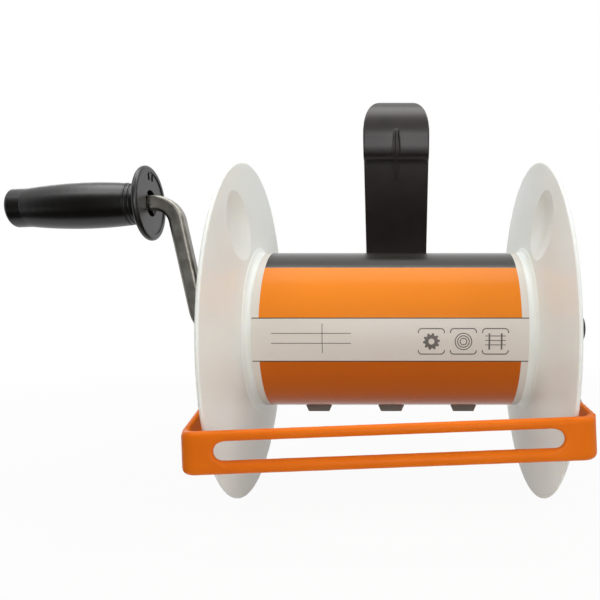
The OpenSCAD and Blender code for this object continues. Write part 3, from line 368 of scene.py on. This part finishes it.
# A closed bar of ink that follows the drum
def inkBar(x0, x1, s0, s1):
    top, foot = signLook["ink"], -signLook["sunk"]
    steps = max(signLook["barLeast"], round(abs(s1 - s0) / signLook["barStep"]))
    corners = ((x0, top), (x1, top), (x1, foot), (x0, foot))
    points = []
    for i in range(steps + 1):
        s = s0 + (s1 - s0) * i / steps
        points += [onDrum(x, s, lift) for x, lift in corners]
    last = len(corners) * steps
    ends = [(3, 2, 1, 0), (last, last + 1, last + 2, last + 3)]
    return points, gridFaces(steps + 1, len(corners)) + ends


def roundedBox(x, s, size, corner):
    reach = size / 2 - corner
    loop = []
    for quarter in range(4):
        diagonal = math.radians(90 * quarter + 45)
        cx = x + math.copysign(reach, math.cos(diagonal))
        cs = s + math.copysign(reach, math.sin(diagonal))
        for step in range(signLook["cornerSteps"] + 1):
            a = math.radians(90 * quarter + 90 / signLook["cornerSteps"] * step)
            loop.append((cx + corner * math.cos(a), cs + corner * math.sin(a)))
    return loop


def roundLoop(x, s, radii):
    turns = [math.tau * i / len(radii) for i in range(len(radii))]
    return [(x + r * math.cos(a), s + r * math.sin(a)) for r, a in zip(radii, turns)]


inkShapes = []
half = signLook["line"] / 2
tableTop, tableFoot = signLook["tableHeight"]
columnLeft, columnRight = signLook["tableColumn"] - half, signLook["tableColumn"] + half
for row in signLook["tableRows"]:
    for x0, x1 in ((signLook["tableFrom"], columnLeft), (columnRight, signLook["tableTo"])):
        inkShapes.append(inkBar(x0, x1, row - half, row + half))
inkShapes.append(inkBar(columnLeft, columnRight, tableFoot, tableTop))
gearBox, coilBox, fenceBox = signLook["boxes"]
middle, size = signLook["boxMiddle"], signLook["boxSize"]
corner, line = signLook["boxCorner"], signLook["boxLine"]
for x in signLook["boxes"]:
    inkShapes.append(inkLoop(roundedBox(x, middle, size, corner),
                             roundedBox(x, middle, size - 2 * line, corner - line)))
toothSteps = signLook["toothSteps"]
toothRadii = [signLook["toothTip"]] * toothSteps + [signLook["toothRoot"]] * toothSteps
gearRadii = toothRadii * signLook["teeth"]
inkShapes.append(inkLoop(roundLoop(gearBox, middle, gearRadii),
                         roundLoop(gearBox, middle, [signLook["gearBore"]] * len(gearRadii))))
for ring in signLook["coilRings"]:
    inkShapes.append(inkLoop(roundLoop(coilBox, middle, [ring] * signLook["coilSteps"]),
                             roundLoop(coilBox, middle,
                                       [ring - signLook["coilLine"]] * signLook["coilSteps"])))
postHalf, postReach = signLook["postHalf"], signLook["postReach"]
leftPost, rightPost = signLook["posts"]
for post in signLook["posts"]:
    inkShapes.append(inkBar(fenceBox + post - postHalf, fenceBox + post + postHalf,
                            middle - postReach, middle + postReach))
wireSpans = ((-signLook["wireReach"], leftPost - postHalf),
             (leftPost + postHalf, rightPost - postHalf),
             (rightPost + postHalf, signLook["wireReach"]))
for wire in signLook["wires"]:
    wireFoot, wireTop = middle + wire - signLook["wireHalf"], middle + wire + signLook["wireHalf"]
    for x0, x1 in wireSpans:
        inkShapes.append(inkBar(fenceBox + x0, fenceBox + x1, wireFoot, wireTop))
points, faces = [], []
for shapePoints, shapeFaces in inkShapes:
    faces += [tuple(i + len(points) for i in face) for face in shapeFaces]
    points += shapePoints
signMesh = bpy.data.meshes.new("stripPrint")
signMesh.from_pydata(points, [], faces)
signMesh.update()
signMesh.materials.append(printInk)
stripPrint = bpy.data.objects.new("stripPrint", signMesh)
bpy.context.scene.collection.objects.link(stripPrint)
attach(stripPrint, "spool")
print("drum signs made")


# One where the eye meets a surface straight, in a mirror or through glass
def seenRays(tree):
    rays = addNode(tree, "LightPath", {}).outputs
    straight = addNode(tree, "Math", {"operation": "MAXIMUM"},
                       {0: rays["Is Camera Ray"], 1: rays["Is Glossy Ray"]}).outputs[0]
    return addNode(tree, "Math", {"operation": "MAXIMUM"},
                   {0: straight, 1: rays["Is Transmission Ray"]}).outputs[0]


# Floor of pale paper, which keeps its shadow and fades to white further out
floorLook = {
    "paper": "#C4C2BE", "gap": 0.2 * mm, "size": 6.0, "nearWhite": 0.95, "fade": (0.3, 1.1),
}  # metres, and a share
floorHeight = cadBox[0][2] - floorLook["gap"]
floorMaterial, floorTree = newMaterial("paperFloor")
floorPlace = addNode(floorTree, "TexCoord", {}).outputs["Object"]
away = addNode(floorTree, "VectorMath", {"operation": "LENGTH"}, {0: floorPlace}).outputs["Value"]
fadeFrom, fadeTo = floorLook["fade"]
whiteness = addNode(floorTree, "MapRange",
                    {"From Min": fadeFrom, "From Max": fadeTo, "To Min": floorLook["nearWhite"],
                     "To Max": 1.0}, {"Value": away})
whiteShare = addNode(floorTree, "Math", {"operation": "MULTIPLY"},
                     {0: seenRays(floorTree), 1: whiteness.outputs[0]})
paper = addNode(floorTree, "BsdfDiffuse", {"Color": linearColour(floorLook["paper"])})
glow = addNode(floorTree, "Emission", {"Color": (1, 1, 1, 1), "Strength": 1.0})
floorMix = addNode(floorTree, "MixShader", {},
                   {0: whiteShare.outputs[0], 1: paper.outputs[0], 2: glow.outputs[0]})
addNode(floorTree, "OutputMaterial", {}, {"Surface": floorMix.outputs[0]})
bpy.ops.mesh.primitive_plane_add(size=floorLook["size"], location=(0, 0, floorHeight))
floor = bpy.context.object
floor.name = "paperFloor"
floor.data.materials.append(floorMaterial)

# Dark cards out of the picture, seen only in gloss, for the grip's dark side: one stands, one lies low
flagLook = {
    "darkFlag": {"place": (-0.6, -0.81, 0.1), "tip": 90, "turn": -27, "size": (0.6, 0.84)},
    "lowFlag": {"place": (-0.42, -0.48, -0.31), "tip": 0, "turn": 0, "size": (0.5, 0.64)},
}  # metres and degrees
flagColour = "#050505"
cloth, clothTree = newMaterial("blackFlagCloth")
dull = addNode(clothTree, "BsdfDiffuse", {"Color": linearColour(flagColour)})
addNode(clothTree, "OutputMaterial", {}, {"Surface": dull.outputs[0]})
for name, look in flagLook.items():
    bpy.ops.mesh.primitive_plane_add(size=1, location=look["place"])
    flag = bpy.context.object
    flag.name = name
    flag.scale = (*look["size"], 1)
    flag.rotation_euler = (math.radians(look["tip"]), 0, math.radians(look["turn"]))
    flag.data.materials.append(cloth)
    for rayKind in ("visible_camera", "visible_diffuse", "visible_shadow", "visible_transmission"):
        setattr(flag, rayKind, False)

# White all round to the eye and in mirrors, and a dim fill as light
worldLook = {"fill": "#F6F4F1", "fillStrength": 0.1}
world = bpy.data.worlds.new("studio")
bpy.context.scene.world = world
world.use_nodes = True
worldTree = world.node_tree
worldTree.nodes.clear()
fill = addNode(worldTree, "Background", {"Color": linearColour(worldLook["fill"]),
                                         "Strength": worldLook["fillStrength"]})
backdrop = addNode(worldTree, "Background", {"Color": (1, 1, 1, 1), "Strength": 1.0})
worldMix = addNode(worldTree, "MixShader", {},
                   {0: seenRays(worldTree), 1: fill.outputs[0], 2: backdrop.outputs[0]})
addNode(worldTree, "OutputWorld", {}, {"Surface": worldMix.outputs[0]})

# Soft boxes: a broad one above does most, and the others shape the hook, the flanges and the grip
lampLook = {
    "overheadBox": {"place": (0.05, -0.15, 0.85), "aim": (0.05, -0.14, -0.2),
                    "size": (1.6, 0.6), "power": 11.8},
    "frontBox": {"place": (0.03, -0.8, -0.13), "aim": (0.0, -0.1, -0.17),
                 "size": (0.26, 0.32), "power": 1.55},
    "rightBox": {"place": (0.9, -0.7, 0.35), "aim": (-0.1, -0.1, -0.2),
                 "size": (0.6, 0.6), "power": 2.4},
    "backBox": {"place": (-0.95, 1.0, 0.45), "aim": (0.0, -0.1, -0.2),
                "size": (0.6, 0.7), "power": 3.0},
    "gripBox": {"place": (-0.58, -0.63, 0.7), "aim": (-0.22, -0.12, -0.08),
                "size": (0.42, 0.3), "power": 1.6},
}  # metres and watts
for name, look in lampLook.items():
    lamp = bpy.data.lights.new(name, "AREA")
    lamp.shape = "RECTANGLE"
    lamp.size, lamp.size_y = look["size"]
    lamp.energy = look["power"]
    box = bpy.data.objects.new(name, lamp)
    bpy.context.scene.collection.objects.link(box)
    box.location = look["place"]
    way = [a - b for a, b in zip(look["aim"], look["place"])]
    flat = math.hypot(way[0], way[1])
    box.rotation_euler = (math.atan2(flat, -way[2]), 0, math.atan2(-way[0], way[1]))
print("stage and light set")

# Camera, straight on at the height of the drum, with the reel right of its middle
cameraLook = {
    "place": (0.0013, -0.6003, -0.1698), "shift": (-0.1626, 0.0122), "lens": 36, "sensor": 36,
    "near": 0.01,
}  # metres, with lens and sensor in millimetres
camera = bpy.data.cameras.new("camera")
camera.sensor_width = cameraLook["sensor"]
camera.lens = cameraLook["lens"]
camera.shift_x, camera.shift_y = cameraLook["shift"]
camera.clip_start = cameraLook["near"]
view = bpy.data.objects.new("camera", camera)
bpy.context.scene.collection.objects.link(view)
view.location = cameraLook["place"]
view.rotation_euler = (math.pi / 2, 0, 0)
bpy.context.scene.camera = view
bpy.context.scene.view_settings.view_transform = "Standard"
